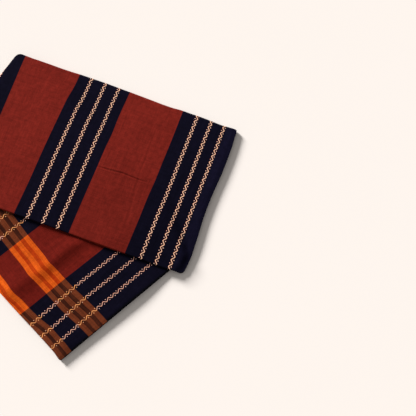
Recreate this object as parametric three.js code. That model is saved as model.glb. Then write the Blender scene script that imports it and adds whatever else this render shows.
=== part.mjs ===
// A folded handloom cotton saree lying flat.
//
// The woven length has been folded in half four times along its length, which
// leaves a strip of sixteen plies as wide as the whole cloth.  That strip is
// then turned once over itself along a slanting fold, so its second half fans
// out beneath the first and shows as a flap with the striped end piece.
//
// Units are millimetres, +Z up.  The origin is the middle of the bounding box
// at the surface that the cloth lies on.  +X runs along the folded pack.
import * as THREE from "three";

// ---------------------------------------------------------------- driving sizes
const ORIGIN = { x: -305.03, y: -101.05 }; // middle of the outline, in the sketch frame below

const PLY = 1.2; // wall of a ply that shows
const GAP = 0.3; // clearance between stretches
const BUNDLE = 9.0; // sixteen plies, pressed flat
const LIFT = BUNDLE + GAP; // underside of the upper strip where it lies on the lower one
const FOLD_R = BUNDLE; // outer radius of the slanting fold
const TURN = 2.4; // how far a ply that shows is turned round a long edge
// How far the stiff upper strip carries on past the lower one's edge, and the
// run over which it then sinks to the surface: in the body of the strip, and at
// its loose selvedge, which sinks sooner.
const REACH = { body: 27, selvedge: 16 };
const RAMP = { body: 46, selvedge: 27 };
const LOOSE = 90; // width of the loose part, in from the selvedge
const CORNER = { low: 9.5, high: 4, tip: 3.5, tuck: 24 }; // plan radii at the selvedge corners

// Upper strip in the sketch frame: long edges along X, selvedges at the right.
const UPPER = { low: -156.5, high: 187.6 };
const UPPER_RUN = UPPER.high - UPPER.low;

// The selvedge edge of the upper strip wanders a little: position x at height y.
const SELVEDGE = [
  { y: -156, x: 1.2 },
  { y: -132, x: 4.0 },
  { y: -79, x: 3.0 },
  { y: -26, x: -0.5 },
  { y: 31, x: -0.4 },
  { y: 89, x: 2.2 },
  { y: 148, x: 1.6 },
  { y: 188, x: -1.6 },
];

// The slanting fold at the left: outermost x = at + slope * s + bow * s^2,
// s being the distance down from the upper long edge.
const FOLD = { at: -530.3, slope: -0.19, bow: -1.55e-4 };

// Selvedge end of the lower strip, and how its lower long edge bows outwards.
const TIP = { x: -163.2, y: -394.2 };
const TUCK = { x: -6.4, y: -115.3 };
const FLAP_BOW = 11.1;
const TIP_FLARE = 1.8; // and how far it flares at the very tip

// Long edges of the upper strip wander too: offset dy at x.
const HIGH_WAVE = [
  { x: -620, dy: 1.5 },
  { x: -518, dy: 1.6 },
  { x: -493, dy: 0.9 },
  { x: -447, dy: 3.4 },
  { x: -398, dy: 4.0 },
  { x: -373, dy: 4.7 },
  { x: -324, dy: 4.7 },
  { x: -276, dy: 3.4 },
  { x: -227, dy: 2.1 },
  { x: -179, dy: 0.3 },
  { x: -155, dy: 0.1 },
  { x: -131, dy: 1.5 },
  { x: -84, dy: 1.1 },
  { x: -37, dy: -1.3 },
  { x: -13, dy: 0.0 },
];
const LOW_WAVE = [
  { x: -620, dy: 0.6 },
  { x: -510, dy: 0.4 },
  { x: -435, dy: 0.2 },
  { x: -356, dy: 0.4 },
  { x: -278, dy: 1.3 },
  { x: -200, dy: 1.5 },
  { x: -125, dy: 2.4 },
  { x: -75, dy: 2.9 },
  { x: -50, dy: 3.2 },
  { x: -25, dy: 4.2 },
  { x: 5, dy: 4.6 },
];

// ---------------------------------------------------------------- small helpers
const lerp = (a, b, t) => a + (b - a) * t;
const clamp01 = (t) => Math.min(1, Math.max(0, t));
const smooth = (t) => {
  const c = clamp01(t);
  return c * c * (3 - 2 * c);
};

// Value of a column of a table at a place, by straight lines between its rows.
function along(table, key, at, column) {
  if (at <= table[0][key]) return table[0][column];
  for (let i = 1; i < table.length; i++) {
    const a = table[i - 1],
      b = table[i];
    if (at <= b[key])
      return lerp(a[column], b[column], (at - a[key]) / (b[key] - a[key]));
  }
  return table[table.length - 1][column];
}

const foldX = (y) => {
  const s = UPPER.high - y;
  return FOLD.at + FOLD.slope * s + FOLD.bow * s * s;
};

// Square corner of a plan rounded to a quarter disc: a and b are the distances
// from its two edges, r the radius.
function roundCorner(a, b, r) {
  if (a >= r || b >= r) return [a, b];
  const p = 1 - a / r,
    q = 1 - b / r;
  return [
    r * (1 - p * Math.sqrt(1 - (q * q) / 2)),
    r * (1 - q * Math.sqrt(1 - (p * p) / 2)),
  ];
}

const edgeWave = (x, t) =>
  lerp(along(LOW_WAVE, "x", x, "dy"), along(HIGH_WAVE, "x", x, "dy"), t);

// ---------------------------------------------------------------- plan maps
// Both take p, the way in from the selvedge end, and q, the way in from the
// lower long edge, and return x and y.  length(q) is the strip's run at q.
const upper = {
  run: UPPER_RUN,
  length: (q) => {
    const y = UPPER.low + q;
    return along(SELVEDGE, "y", y, "x") - foldX(y);
  },
  place(p0, q0) {
    let [p, q] = roundCorner(p0, q0, CORNER.low);
    let k;
    [p, k] = roundCorner(p, UPPER_RUN - q, CORNER.high);
    q = UPPER_RUN - k;
    const y = UPPER.low + q;
    const x = along(SELVEDGE, "y", y, "x") - p;
    const t = q / UPPER_RUN;
    return [x, y + edgeWave(x, t)];
  },
};

const LOWER_RUN = Math.hypot(TUCK.x - TIP.x, TUCK.y - TIP.y);
const foldPoint = (t) => {
  const y = lerp(UPPER.low, UPPER.high, t);
  return [foldX(y), y];
};
const endPoint = (t) => [lerp(TIP.x, TUCK.x, t), lerp(TIP.y, TUCK.y, t)];
const lower = {
  run: LOWER_RUN,
  length: (q) => {
    const t = q / LOWER_RUN,
      e = endPoint(t),
      f = foldPoint(t);
    return Math.hypot(f[0] - e[0], f[1] - e[1]);
  },
  place(p0, q0) {
    let [p, q] = roundCorner(p0, q0, CORNER.tip);
    let k;
    [p, k] = roundCorner(p, LOWER_RUN - q, CORNER.tuck);
    q = LOWER_RUN - k;
    const t = q / LOWER_RUN,
      a = p / this.length(q),
      e = endPoint(t),
      f = foldPoint(t);
    const bow =
      FLAP_BOW * Math.sin(Math.PI * clamp01(a)) ** 1.6 * (1 - t) ** 2 +
      TIP_FLARE * (1 - smooth(p / 24)) * (1 - t) ** 4;
    return [lerp(e[0], f[0], a) - 0.4614 * bow, lerp(e[1], f[1], a) - 0.8873 * bow];
  },
};
// Direction in which the lower strip leaves the fold, at each edge.
const leaving = (t) => {
  const e = endPoint(t),
    f = foldPoint(t),
    l = Math.hypot(e[0] - f[0], e[1] - f[1]);
  return [(e[0] - f[0]) / l, (e[1] - f[1]) / l];
};

// ---------------------------------------------------------------- how the upper strip lies
// Outline of the lower strip, counter-clockwise; its hidden corner is tucked
// round.
const towards = (from, to, distance) => {
  const l = Math.hypot(to[0] - from[0], to[1] - from[1]);
  return [(distance * (to[0] - from[0])) / l, (distance * (to[1] - from[1])) / l];
};
const tuck = [TUCK.x, TUCK.y];
const tuckPoint = (down, back) => {
  const a = towards(tuck, [TIP.x, TIP.y], down),
    b = towards(tuck, foldPoint(1), back);
  return [tuck[0] + a[0] + b[0], tuck[1] + a[1] + b[1]];
};
const BED = [
  [TIP.x, TIP.y],
  tuckPoint(CORNER.tuck, 0),
  tuckPoint(0.29 * CORNER.tuck, 0.29 * CORNER.tuck),
  tuckPoint(0, CORNER.tuck),
  foldPoint(1),
  foldPoint(0),
];

// Distance outside the lower strip (0 over it).
function beyondBed(x, y) {
  let inside = true,
    best = Infinity;
  for (let i = 0; i < BED.length; i++) {
    const [ax, ay] = BED[i],
      [bx, by] = BED[(i + 1) % BED.length];
    const ex = bx - ax,
      ey = by - ay;
    if (ex * (y - ay) - ey * (x - ax) < 0) inside = false;
    const t = clamp01(((x - ax) * ex + (y - ay) * ey) / (ex * ex + ey * ey));
    best = Math.min(best, Math.hypot(x - ax - t * ex, y - ay - t * ey));
  }
  return inside ? 0 : best;
}

// Height of the upper strip's underside.  Left of the fold axis it keeps the
// height of the fold.
function upperBase(x, y) {
  const near = smooth((x - foldX(y) - FOLD_R) / 30);
  const held = smooth((along(SELVEDGE, "y", y, "x") - x) / LOOSE);
  const reach = lerp(REACH.selvedge, REACH.body, held),
    ramp = lerp(RAMP.selvedge, RAMP.body, held);
  return LIFT * (1 - near * smooth((beyondBed(x, y) - reach) / ramp));
}
const flat = () => 0;

// ---------------------------------------------------------------- rims
// A rim is a table of rows read from the upper face, round the edge, to the
// lower face.  dz is the height above the strip's base and inset the way in
// from the long edges and the selvedge end; foldDz and foldInset are the same
// at the slanting fold.
function cap(top, turn, foldInset) {
  // a ply on top of its strip, its edges turned down
  const t = top,
    b = top - turn,
    w = PLY;
  const shape = [
    { dz: t, inset: 2.9 },
    { dz: t - 0.35, inset: 1.2 },
    { dz: t - 1.2, inset: 0.2 },
    { dz: b, inset: 0.0 },
    { dz: b + 0.1, inset: w },
    { dz: t - w - 0.5, inset: w + 0.3 },
    { dz: t - w, inset: 3.4 },
  ];
  const last = shape.length - 1;
  return shape.map((row, i) => ({
    ...row,
    foldDz: t - (w * i) / last,
    foldInset,
  }));
}
const flipped = (rim, thickness) =>
  rim
    .map((row) => ({ ...row, dz: thickness - row.dz, foldDz: thickness - row.foldDz }))
    .reverse();

// Hidden plies: one solid, its edge drawn in between rounded lobes.
// arc(dz) gives the inset at the slanting fold.
function lobed(top, bottom, tuckTop, tuckBottom, outs, arc) {
  const rows = [];
  if (tuckTop) rows.push({ dz: top, inset: 3.8 }, { dz: top - 0.5, inset: 1.9 });
  else rows.push({ dz: top, inset: 2.2 });
  const from = top - tuckTop - (tuckTop ? 0 : 0.35),
    to = bottom + tuckBottom + (tuckBottom ? 0 : 0.35),
    h = (from - to) / outs.length;
  outs.forEach((out, k) => {
    const z = from - k * h;
    rows.push(
      { dz: z, inset: 1.9 },
      { dz: z - 0.28 * h, inset: out },
      { dz: z - 0.72 * h, inset: out },
    );
  });
  rows.push({ dz: to, inset: 1.9 });
  if (tuckBottom)
    rows.push({ dz: bottom + 0.5, inset: 1.9 }, { dz: bottom, inset: 3.8 });
  else rows.push({ dz: bottom, inset: 2.2 });
  return rows.map((row) => ({ ...row, foldDz: row.dz, foldInset: arc(row.dz) }));
}

// ---------------------------------------------------------------- building a stretch
// Shares of the run where grid lines lie: close together at the edges.
function lines(run, count, edge) {
  const near = edge.map((e) => e / run);
  const middle = [];
  const a = near[near.length - 1],
    b = 1 - a;
  for (let i = 1; i < count; i++) middle.push(lerp(a, b, i / count));
  return [0, ...near, ...middle, ...near.map((e) => 1 - e).reverse(), 1];
}

function stretch(name, color, roughness, strip, base, rim, counts) {
  const us = lines(570, counts.p, counts.edge);
  const vs = lines(strip.run, counts.q, counts.edge);
  const nu = us.length - 1,
    nv = vs.length - 1;
  const positions = [],
    index = [];
  const put = (x, y, z) => positions.push(x - ORIGIN.x, y - ORIGIN.y, z) / 3 - 1;

  const point = (i, j, row) => {
    const q = lerp(row.inset, strip.run - row.inset, vs[j]);
    const length = strip.length(q);
    const p = lerp(row.inset, length - row.foldInset, us[i]);
    const [x, y] = strip.place(p, q);
    const atFold = i === nu;
    return put(x, y, base(x, y) + (atFold ? row.foldDz : row.dz));
  };

  // the closed loop of grid nodes round the edge, counter-clockwise in plan
  const loop = [];
  for (let i = nu; i > 0; i--) loop.push([i, 0]);
  for (let j = 0; j < nv; j++) loop.push([0, j]);
  for (let i = 0; i < nu; i++) loop.push([i, nv]);
  for (let j = nv; j > 0; j--) loop.push([nu, j]);

  const face = (row) => {
    const ids = [];
    for (let i = 0; i <= nu; i++) {
      ids.push([]);
      for (let j = 0; j <= nv; j++) ids[i].push(point(i, j, row));
    }
    return ids;
  };
  const top = face(rim[0]),
    bottom = face(rim[rim.length - 1]);
  for (let i = 0; i < nu; i++)
    for (let j = 0; j < nv; j++) {
      // p grows towards -X, so this order turns the upper face up
      index.push(top[i][j], top[i][j + 1], top[i + 1][j + 1]);
      index.push(top[i][j], top[i + 1][j + 1], top[i + 1][j]);
      index.push(bottom[i][j], bottom[i + 1][j + 1], bottom[i][j + 1]);
      index.push(bottom[i][j], bottom[i + 1][j], bottom[i + 1][j + 1]);
    }
  const rings = rim.map((row, k) => {
    if (k === 0) return loop.map(([i, j]) => top[i][j]);
    if (k === rim.length - 1) return loop.map(([i, j]) => bottom[i][j]);
    return loop.map(([i, j]) => point(i, j, row));
  });
  for (let k = 1; k < rings.length; k++)
    for (let n = 0; n < loop.length; n++) {
      const m = (n + 1) % loop.length;
      index.push(rings[k - 1][n], rings[k][n], rings[k][m]);
      index.push(rings[k - 1][n], rings[k][m], rings[k - 1][m]);
    }
  return mesh(name, color, roughness, positions, index);
}

function mesh(name, color, roughness, positions, index) {
  const geometry = new THREE.BufferGeometry();
  geometry.setAttribute("position", new THREE.Float32BufferAttribute(positions, 3));
  geometry.setIndex(index);
  geometry.computeVertexNormals();
  const made = new THREE.Mesh(
    geometry,
    new THREE.MeshStandardMaterial({ color, roughness, metalness: 0 }),
  );
  made.name = name;
  return made;
}

// ---------------------------------------------------------------- the slanting fold
// A half tube: the outer ply runs from the upper strip's top, round the left,
// to the lower strip's underside.
function foldStretch(name, color, roughness) {
  const STEPS = 10,
    ROWS = 12;
  const positions = [],
    index = [];
  const ring = (t, r) => {
    const [fx, fy] = foldPoint(t),
      d = leaving(t),
      wave = edgeWave(fx + FOLD_R, t),
      ids = [];
    for (let k = 0; k <= STEPS; k++) {
      const a = lerp(Math.PI / 2, -Math.PI / 2, k / STEPS);
      const way = FOLD_R - r * Math.cos(a);
      const low = smooth(k / STEPS);
      const dx = lerp(1, d[0], low),
        dy = lerp(0, d[1], low);
      positions.push(
        fx + way * dx - ORIGIN.x,
        fy + way * dy + wave * (1 - k / STEPS) - ORIGIN.y,
        FOLD_R + r * Math.sin(a),
      );
      ids.push(positions.length / 3 - 1);
    }
    return ids;
  };
  const sections = [];
  for (let n = 0; n <= ROWS; n++) {
    const t = n / ROWS;
    sections.push([...ring(t, FOLD_R), ...ring(t, FOLD_R - PLY).reverse()]);
  }
  const size = sections[0].length;
  for (let n = 1; n <= ROWS; n++)
    for (let k = 0; k < size; k++) {
      const m = (k + 1) % size,
        a = sections[n - 1],
        b = sections[n];
      index.push(a[k], b[k], b[m]);
      index.push(a[k], b[m], a[m]);
    }
  const end = (ids, flip) => {
    for (let k = 0; k < STEPS; k++) {
      const o0 = ids[k],
        o1 = ids[k + 1],
        i0 = ids[size - 1 - k],
        i1 = ids[size - 2 - k];
      const tris = [
        [o0, o1, i1],
        [o0, i1, i0],
      ];
      tris.forEach((t) => index.push(...(flip ? t.reverse() : t)));
    }
  };
  end(sections[0], false);
  end(sections[ROWS], true);
  return mesh(name, color, roughness, positions, index);
}

// ---------------------------------------------------------------- the stretches
const RED = 0x76241b,
  NAVY = 0x15121f,
  ORANGE = 0xb0471c;
const upperTop = LIFT + BUNDLE - GAP; // 18.0: top of the pack
const roundInset = (lift) => (dz) => {
  const r = FOLD_R - PLY - 2 * GAP,
    h = Math.min(r, Math.abs(lift + dz - FOLD_R));
  return FOLD_R - Math.sqrt(r * r - h * h);
};
const topOf = upperTop - LIFT; // height of the upper strip above its base

const group = new THREE.Group();
group.add(
  stretch("body_ply", RED, 0.85, upper, upperBase, cap(topOf, TURN, FOLD_R + GAP), {
    p: 12,
    q: 7,
    edge: [4, 9, 16, 26, 38],
  }),
  stretch(
    "upper_layers",
    NAVY,
    0.9,
    upper,
    upperBase,
    lobed(topOf - PLY - GAP, 0, TURN + GAP - PLY - GAP, 0, [0.1, 0.5, 0.0], roundInset(LIFT)),
    { p: 12, q: 7, edge: [4, 9, 16, 26, 38] },
  ),
  foldStretch("fold_ply", RED, 0.85),
  stretch("pallu_ply", ORANGE, 0.85, lower, flat, cap(BUNDLE, TURN, 3.2), {
    p: 6,
    q: 4,
    edge: [4, 9, 16],
  }),
  stretch(
    "lower_layers",
    NAVY,
    0.9,
    lower,
    flat,
    lobed(
      BUNDLE - PLY - GAP,
      PLY + GAP,
      TURN + GAP - PLY - GAP,
      TURN + GAP - PLY - GAP,
      [0.0, 0.4],
      roundInset(0),
    ),
    { p: 6, q: 4, edge: [4, 9, 16] },
  ),
  stretch(
    "under_ply",
    RED,
    0.85,
    lower,
    flat,
    flipped(cap(BUNDLE, TURN, FOLD_R + 2 * GAP), BUNDLE),
    { p: 6, q: 4, edge: [4, 9, 16] },
  ),
);

export default group;
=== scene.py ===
"""A folded handloom cotton saree lying flat: the cloth, its plies and its woven pattern.

The cloth is described in its own coordinates.  The woven length has been folded
in half four times, which leaves a strip of sixteen plies as wide as the whole
cloth; the strip is turned once over itself along a slanting fold.  A point of
the strip is (p, q, n): p runs along the strip from the upper selvedge, round
the fold and back to the other selvedge, q runs across it from the long edge
where the plies turn separately, and n is the height in the stack.  All sizes
below are millimetres in the sketch frame of the CAD source; they are turned
into the row frame in metres when a mesh is made.
"""

import math

import bpy
import numpy as np
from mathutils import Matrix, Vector


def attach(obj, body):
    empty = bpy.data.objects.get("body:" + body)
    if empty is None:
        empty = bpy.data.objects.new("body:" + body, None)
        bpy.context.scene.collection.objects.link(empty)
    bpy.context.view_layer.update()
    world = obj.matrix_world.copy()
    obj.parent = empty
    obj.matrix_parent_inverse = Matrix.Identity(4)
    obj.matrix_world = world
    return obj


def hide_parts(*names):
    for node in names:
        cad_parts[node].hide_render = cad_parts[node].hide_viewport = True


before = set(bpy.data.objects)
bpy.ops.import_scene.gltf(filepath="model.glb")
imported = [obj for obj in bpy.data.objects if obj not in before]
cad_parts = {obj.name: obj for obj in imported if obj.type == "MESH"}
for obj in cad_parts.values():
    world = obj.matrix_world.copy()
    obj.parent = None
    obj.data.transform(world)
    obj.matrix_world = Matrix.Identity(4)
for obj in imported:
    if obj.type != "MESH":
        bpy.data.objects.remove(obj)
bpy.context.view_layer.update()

# ---------------------------------------------------------------- sizes
ORIGIN = np.array([-305.03, -101.05, 0.0])
STACK = 8.7  # height of the sixteen plies
LIFT = 9.3
FOLD_R = 9.0
LOW, HIGH = -156.5, 187.6
RUN = HIGH - LOW
ROLL = STACK / 4  # radius of the eight-ply roll at the low edge
NOSE = STACK / 2  # radius of the bullnose at the high edge
REACH, RAMP = 10.0, 48.0
WIDTH = 1149.0  # the whole cloth, selvedge to selvedge
TIP = np.array([-163.2, -394.2])
TUCK = np.array([-6.4, -115.3])
LOWER_RUN = float(np.hypot(*(TUCK - TIP)))
FLAP_BOW = 11.1
TIP_FLARE = 1.8
PLY = 0.45


def curve(points):
    """A smooth curve through given (x, y) pairs, flat beyond its ends."""
    xs, ys = np.array(points, float).T
    slope = np.gradient(ys, xs)

    def value(x):
        x = np.clip(x, xs[0], xs[-1])
        i = np.clip(np.searchsorted(xs, x) - 1, 0, len(xs) - 2)
        h = xs[i + 1] - xs[i]
        t = (x - xs[i]) / h
        return (
            (1 + 2 * t) * (1 - t) ** 2 * ys[i]
            + t * (1 - t) ** 2 * h * slope[i]
            + t * t * (3 - 2 * t) * ys[i + 1]
            + t * t * (t - 1) * h * slope[i + 1]
        )

    return value


def smooth(t):
    c = np.clip(t, 0, 1)
    return c * c * (3 - 2 * c)


def lerp(a, b, t):
    return a + (b - a) * t


selvedge_x = curve(
    [(-157, 1.2), (-132, 4.0), (-79, 3.0), (-26, -0.5), (31, -0.4), (89, 2.2), (148, 1.6), (188, -1.6)]
)
wave_high = curve(
    [(-620, 1.5), (-545, 1.5), (-518, 1.6), (-493, 0.9), (-470, 2.1), (-447, 3.4), (-423, 3.8), (-398, 4.0),
     (-373, 4.7), (-349, 4.7), (-324, 4.7), (-300, 4.3), (-276, 3.4), (-251, 2.9), (-227, 2.1), (-203, 1.3),
     (-179, 0.3), (-155, 0.1), (-131, 1.5), (-108, 1.1), (-84, 1.1), (-60, 0.0), (-37, -1.3), (-13, 0.0), (5, 0.0)]
)
wave_low = curve(
    [(-620, 0.6), (-510, 0.4), (-435, 0.2), (-356, 0.4), (-278, 1.3), (-200, 1.5), (-160, 1.9), (-125, 2.4), (-95, 2.9), (-75, 3.1),
     (-50, 3.2), (-25, 4.3), (5, 5.2)]
)


def fold_x(y):
    s = HIGH - y
    return -530.3 - 0.19 * s - 1.55e-4 * s * s + 4.0 * np.clip(1 - s / 12, 0, 1) ** 2


def fold_point(t):
    y = lerp(LOW, HIGH, t)
    return fold_x(y), y


def end_point(t):
    return lerp(TIP[0], TUCK[0], t), lerp(TIP[1], TUCK[1], t)


def leaving(t):
    """Direction in which the lower strip leaves the fold, and its length."""
    ex, ey = end_point(t)
    fx, fy = fold_point(t)
    length = np.hypot(ex - fx, ey - fy)
    return (ex - fx) / length, (ey - fy) / length, length - FOLD_R


def round_corner(a, b, r):
    near = (a < r) & (b < r)
    u = np.clip(1 - a / r, -0.2, 1.2)
    v = np.clip(1 - b / r, -0.2, 1.2)
    return (
        np.where(near, r * (1 - u * np.sqrt(1 - v * v / 2)), a),
        np.where(near, r * (1 - v * np.sqrt(1 - u * u / 2)), b),
    )


# outline of the lower strip; its hidden corner is tucked round
_along = (TUCK - TIP) / np.hypot(*(TUCK - TIP))
_back = (np.array(fold_point(1.0)) - TUCK) / np.hypot(*(np.array(fold_point(1.0)) - TUCK))
BED = [
    tuple(TIP),
    tuple(TUCK - 24.0 * _along),
    tuple(TUCK - 7.0 * _along + 7.0 * _back),
    tuple(TUCK + 24.0 * _back),
    fold_point(1.0),
    fold_point(0.0),
]


def beyond_bed(x, y):
    inside = np.ones(np.shape(x), bool)
    best = np.full(np.shape(x), np.inf)
    for (ax, ay), (bx, by) in zip(BED, BED[1:] + BED[:1]):
        ex, ey = bx - ax, by - ay
        inside &= ex * (y - ay) - ey * (x - ax) >= 0
        t = np.clip(((x - ax) * ex + (y - ay) * ey) / (ex * ex + ey * ey), 0, 1)
        best = np.minimum(best, np.hypot(x - ax - t * ex, y - ay - t * ey))
    return np.where(inside, 0.0, best)


def upper_base(x, y):
    near = smooth((x - fold_x(y) - FOLD_R) / 30)
    held = smooth((selvedge_x(y) - x) / 90)  # the loose selvedge sinks sooner
    return LIFT * (1 - near * smooth((beyond_bed(x, y) - lerp(0.5, REACH, held)) / lerp(17.0, RAMP, held)))


def pressed(x, y):
    """The stack lies thinner where nothing holds it up: at the loose corner of
    the upper strip and towards the tip of the flap."""
    corner = smooth(1 - np.hypot(x + 38.0, y + 150.0) / 84.0)
    tip = smooth(1 - np.hypot(x - TIP[0], y - TIP[1]) / 190.0)
    return (1 - 0.32 * corner) * (1 - 0.15 * tip)


# ---------------------------------------------------------------- creases and swells
def trough(x, y, line, depth, half, shoulder=0.35):
    """A soft crease along a given line of (x, y): a trough with a low
    shoulder on each side, dying out at its ends."""
    pts = np.array(line, float)
    best = np.full(np.shape(x), np.inf)
    where = np.zeros(np.shape(x))
    total = 0.0
    spans = np.hypot(*(pts[1:] - pts[:-1]).T)
    run = spans.sum()
    for (ax, ay), (bx, by), span in zip(pts[:-1], pts[1:], spans):
        ex, ey = bx - ax, by - ay
        t = np.clip(((x - ax) * ex + (y - ay) * ey) / (span * span), 0, 1)
        d = np.hypot(x - ax - t * ex, y - ay - t * ey)
        nearer = d < best
        best = np.where(nearer, d, best)
        where = np.where(nearer, (total + t * span) / run, where)
        total += span
    fade = smooth(where / 0.18) * smooth((1 - where) / 0.18)
    u = best / half
    return -depth * fade * (np.exp(-u * u) - shoulder * np.exp(-((u - 2.1) ** 2) / 1.3))


def swell_upper(x, y):
    """Slow rise and fall of the upper strip's top, mm."""
    return (
        0.30 * np.sin(x / 31.0 + y / 47.0 + 0.6)
        + 0.22 * np.sin(x / 17.0 - y / 61.0 + 2.1)
        + 0.26 * np.sin(y / 23.0 + 0.8 * np.sin(x / 70.0) + 1.2)
        + 0.12 * np.sin(x / 8.3 + y / 90.0 + 0.4)
    )


def relief_upper(x, y):
    z = swell_upper(x, y)
    z = z + trough(x, y, [(-258, -0.6), (-225, 1.2), (-196, 4.0), (-170, 3.2), (-148, 3.4), (-136, 5.6)], 1.8, 1.5)
    z = z + trough(x, y, [(-168.5, 140), (-166, 110), (-162, 26), (-150, -60), (-140, -141)], 0.42, 2.3)
    z = z + trough(x, y, [(-470, 96), (-440, 92), (-410, 95), (-385, 93)], 0.2, 2.4)
    z = z + trough(x, y, [(-500, -40), (-455, -33), (-420, -35)], 0.2, 2.6)
    return z


ridge_middle = curve([(0, 165), (25, 162), (45, 159), (65, 158), (100, 158), (130, 159.5), (180, 160), (320, 160)])
ridge_height = curve(
    [(-28, 0.0), (-18, 0.0), (-11, 0.45), (-6, 1.7), (0, 3.7), (5, 5.2), (10, 5.9), (14, 5.7), (20, 4.6),
     (28, 3.2), (38, 1.9), (52, 0.9), (72, 0.3), (100, 0.0)]
)


def relief_lower(p, q, y):
    """The flap's top: a long soft ridge beside the second band and slow swells."""
    z = (
        0.34 * np.sin(p / 27.0 + q / 52.0 + 1.0)
        + 0.24 * np.sin(p / 15.0 - q / 40.0 + 0.2)
        + 0.22 * np.sin(q / 21.0 + p / 90.0)
    )
    # a soft fold line beside the second band: the cloth steps up on its right
    # side and falls slowly away on its left
    away = (p - ridge_middle(q)) / lerp(1.4, 1.0, smooth((q - 45) / 55))
    z = z + smooth((q + 12) / 34) * ridge_height(away)
    # beside the upper strip it sags clear of the roll above, but for the ridge
    sag = smooth((p - 45) / 30) * (1 - smooth((p - 300) / 60)) * (1 - 0.8 * np.exp(-(((p - 166) / 22) ** 2)))
    z = z - 1.3 * sag * smooth((-150 - y) / 5) * (1 - smooth((-163 - y) / 24))
    # it lies flat where the upper strip presses on it
    return z * (0.12 + 0.88 * smooth((-148.0 - y) / 28.0))


# ---------------------------------------------------------------- the strip's map
LEAN_S = np.array([0, 31, 127, 256, 377.5, 512, 640.0])
LEAN_Y = [-156.0, -80.0, 0.0, 60.0, 110.0, 187.0]
LEAN = [  # sideways drift of the lengthwise threads, at each of LEAN_Y
    [None, 0.3, -0.6, 3.7, 1.2, 16.0, 0.0],
    [None, 0.0, -0.4, 2.4, 0.5, 15.5, 0.0],
    [None, -0.3, -1.5, 1.8, -1.2, 14.2, 0.0],
    [None, -0.4, -2.4, 0.6, -1.8, 10.2, 0.0],
    [None, -0.6, -2.7, -2.0, -1.7, 6.9, 0.0],
    [None, -0.8, -4.0, -2.0, -2.6, 2.2, 0.0],
]
_columns = [curve([(y, LEAN[i][k]) for i, y in enumerate(LEAN_Y)]) for k in range(1, len(LEAN_S))]


def lean(s, q):
    y = LOW + q
    columns = [selvedge_x(y) - 3.0] + [f(y) for f in _columns]
    s, y = np.broadcast_arrays(s, y)
    out = np.zeros(s.shape)
    for k in range(len(LEAN_S) - 1):
        a, b = LEAN_S[k], LEAN_S[k + 1]
        t = smooth((s - a) / (b - a)) * 0.5 + np.clip((s - a) / (b - a), 0, 1) * 0.5
        value = lerp(columns[k], columns[k + 1], t)
        out = np.where((s >= a) & (s <= b), value, out)
    return np.where(s < 0, columns[0], out)


def p_of(s, q):
    """Way along the strip of the thread s from the selvedge."""
    return s - lean(s, q) + selvedge_x(LOW + q) - 3.0


def s_of(p, q):
    s = p - selvedge_x(LOW + q) + 3.0
    for _ in range(4):
        s = p - selvedge_x(LOW + q) + 3.0 + lean(s, q)
    return s


def upper_length(q):
    y = LOW + q
    return selvedge_x(y) - fold_x(y) - FOLD_R


def whole_length(q):
    return WIDTH + selvedge_x(LOW + q) - 3.0


def lower_xy(p, q):
    """Plan of the lower strip: p from its selvedge, q from its low edge."""
    p, q = round_corner(p, q, 3.5)
    p, k = round_corner(p, LOWER_RUN - q, 24.0)
    q = LOWER_RUN - k
    t = q / LOWER_RUN
    dx, dy, length = leaving(t)
    ex, ey = end_point(t)
    fx, fy = fold_point(t)
    fx, fy = fx + FOLD_R * dx, fy + FOLD_R * dy
    a = p / length
    bow = FLAP_BOW * np.sin(np.pi * np.clip(a, 0, 1)) ** 1.6 * (1 - t) ** 2
    bow = bow + TIP_FLARE * (1 - smooth(p / 24)) * (1 - t) ** 4
    return lerp(ex, fx, a) - 0.4614 * bow, lerp(ey, fy, a) - 0.8873 * bow


def lower_at(p, q, n):
    x, y = lower_xy(p, q)
    _, _, length = leaving(q / LOWER_RUN)
    edge = smooth(np.minimum(p, 60) / 14.0) * smooth(q / 10.0 + 0.15)
    rise = 0.3 * smooth((length - p) / 40.0) * n / STACK
    z = STACK - n + rise + relief_lower(p, q, y) * edge * (1 - n / STACK)
    z = z - 0.10 * (STACK - n) * (1 - smooth(p / 9.0))
    return x, y, z * pressed(x, y)


def strip(p, q, n):
    """(p, q, n) to a place, for the whole strip."""
    p, q, n = np.broadcast_arrays(*(np.asarray(v, float) for v in (p, q, n)))
    first = upper_length(q)
    # over the bed
    a, b = round_corner(np.minimum(p, first), q, 9.5)
    a, c = round_corner(a, RUN - b, 4.0)
    b = RUN - c
    y = LOW + b
    x = selvedge_x(y) - a
    y = y + lerp(wave_low(x), wave_high(x), b / RUN)
    edge = smooth(p / 16.0) * smooth(q / 14.0) * smooth((RUN - q) / 16.0)
    edge = edge * smooth((first - p) / 30.0)
    droop = 1 - 0.13 * (1 - smooth(p / 10.0))
    z = upper_base(x, y) + n * droop + relief_upper(x, y) * edge * n / STACK
    z = z * pressed(x, y)
    # round the fold
    k = np.clip((p - first) / (np.pi * FOLD_R), 0, 1)
    t = q / RUN
    fx, fy = fold_point(t)
    dx, dy, length = leaving(t)
    r = n + LIFT - FOLD_R
    angle = np.pi / 2 - np.pi * k
    way = FOLD_R - r * np.cos(angle)
    turn = smooth(k)
    xf = fold_x(fy) + FOLD_R
    shift = lerp(wave_low(xf), wave_high(xf), t) * (1 - k)
    arc = (
        fx + way * lerp(1.0, dx, turn),
        fy + way * lerp(0.0, dy, turn) + shift,
        FOLD_R + r * np.sin(angle),
    )
    # back along the surface
    rest = whole_length(q) - first - np.pi * FOLD_R
    share = 1 - np.clip((p - first - np.pi * FOLD_R) / rest, 0, 1)
    back = lower_at(share * length, t * LOWER_RUN, n)
    on_top, at_fold = p <= first, p < first + np.pi * FOLD_R
    return np.stack(
        [np.where(on_top, u, np.where(at_fold, v, w)) for u, v, w in zip((x, y, z), arc, back)], -1
    )


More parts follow.
